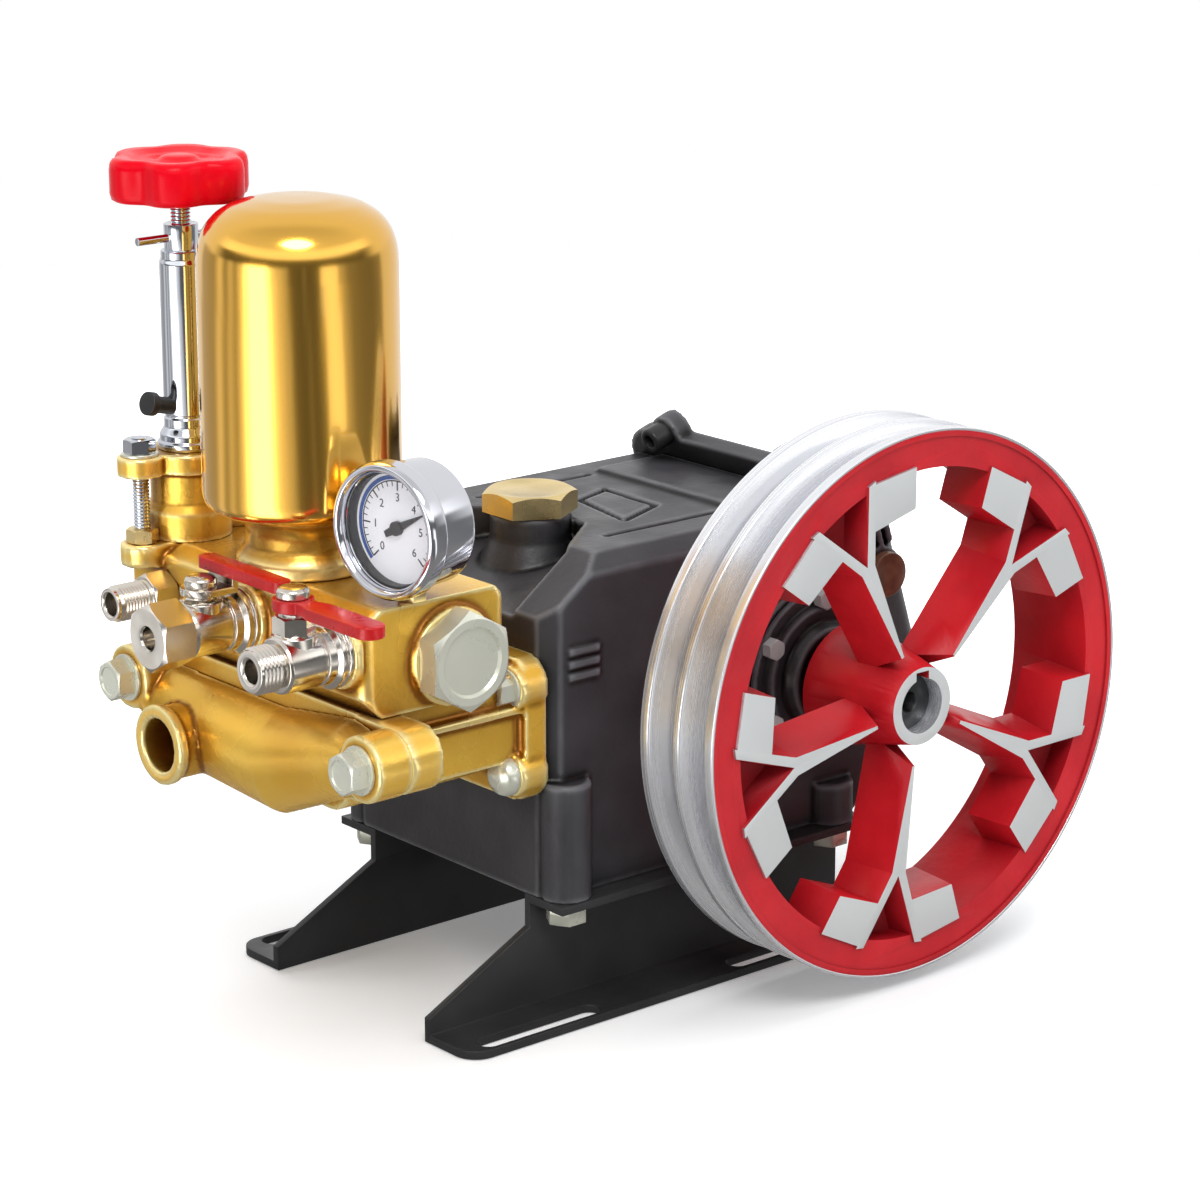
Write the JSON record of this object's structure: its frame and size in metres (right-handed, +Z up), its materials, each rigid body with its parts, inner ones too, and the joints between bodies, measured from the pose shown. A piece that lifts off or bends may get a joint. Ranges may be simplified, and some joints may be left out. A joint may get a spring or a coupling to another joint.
{
  "type": "three-cylinder high-pressure plunger pump",
  "caption": "Belt-driven high-pressure plunger pump with forked-spoke pulley, gold fluid end, air chamber, gauge, regulator and outlet cocks on slotted rails.",
  "frame": {"origin": "on the floor, at the centre of the four rail slots", "axes": "+Z up; X along the rails with the fluid end at -X; Y along the crankshaft with the pulley at -Y"},
  "size_m": [0.346, 0.2035, 0.299],
  "materials": {
    "rail_black": "satin black paint on folded sheet",
    "case_black": "satin charcoal paint on casting",
    "zinc": "bright zinc plate, slightly yellow",
    "cap_brass": "machined brass",
    "shaft_steel": "ground steel, oiled",
    "pulley_red": "red paint, machined rim and blocks bare",
    "gold": "satin gold finish on casting",
    "chamber_gold": "mirror gold finish",
    "gauge_chrome": "polished",
    "chrome": "polished",
    "nickel": "nickel plate",
    "dial_white": "printed dial",
    "needle_black": "matt black",
    "glass": "clear",
    "knob_red": "gloss red",
    "lever_red": "red sleeve"
  },
  "bodies": {
    "pump": {"air_chamber": "chamber_gold", "bypass_outlet": "nickel", "chamber_base": "gold", "crankcase": "case_black", "cylinder_block": "gold", "discharge_manifold": "gold", "far_bearing_cover": "case_black", "far_cock": "nickel", "far_gallery_plug": "zinc", "far_rail": "rail_black", "far_tie_bolt": "zinc", "gauge_bezel": "gauge_chrome", "gauge_case": "gauge_chrome", "gauge_dial": "dial_white", "gauge_glass": "glass", "gauge_needle": "needle_black", "gauge_stem": "cap_brass", "lock_nut": "chrome", "near_bearing_cover": "case_black", "near_cock": "nickel", "near_gallery_plug": "zinc", "near_rail": "rail_black", "near_tie_bolt": "zinc", "oil_filler_cap": "cap_brass", "rail_bolts": "zinc", "rear_cover": "case_black", "regulator_body": "gold", "regulator_clamp_rods": "chrome", "regulator_tube": "chrome", "sight_plug": "cap_brass", "suction_manifold": "gold"},
    "pulley": {"pulley": "pulley_red", "crankshaft": "shaft_steel", "shaft_key": "shaft_steel"},
    "near_lever": {"near_lever": "lever_red", "near_spindle_nut": "nickel"},
    "far_lever": {"far_lever": "lever_red", "far_spindle_nut": "nickel"},
    "handwheel": {"handwheel": "knob_red", "regulator_screw": "chrome"}
  },
  "joints": [
    {"name": "pulley_spin", "type": "hinge", "parent": "pump", "child": "pulley", "pos_m": [0.075, -0.097, 0.105], "axis": [0, -1, 0], "continuous": true},
    {"name": "near_lever_turn", "type": "hinge", "parent": "pump", "child": "near_lever", "pos_m": [-0.149, -0.05, 0.169], "axis": [0, 0, 1], "range_deg": [-90, 0]},
    {"name": "far_lever_turn", "type": "hinge", "parent": "pump", "child": "far_lever", "pos_m": [-0.149, 0.003, 0.169], "axis": [0, 0, 1], "range_deg": [-90, 0]},
    {"name": "handwheel_turn", "type": "hinge", "parent": "pump", "child": "handwheel", "pos_m": [-0.113, 0.062, 0.29], "axis": [0, 0, 1], "range_deg": [-180, 180]}
  ]
}
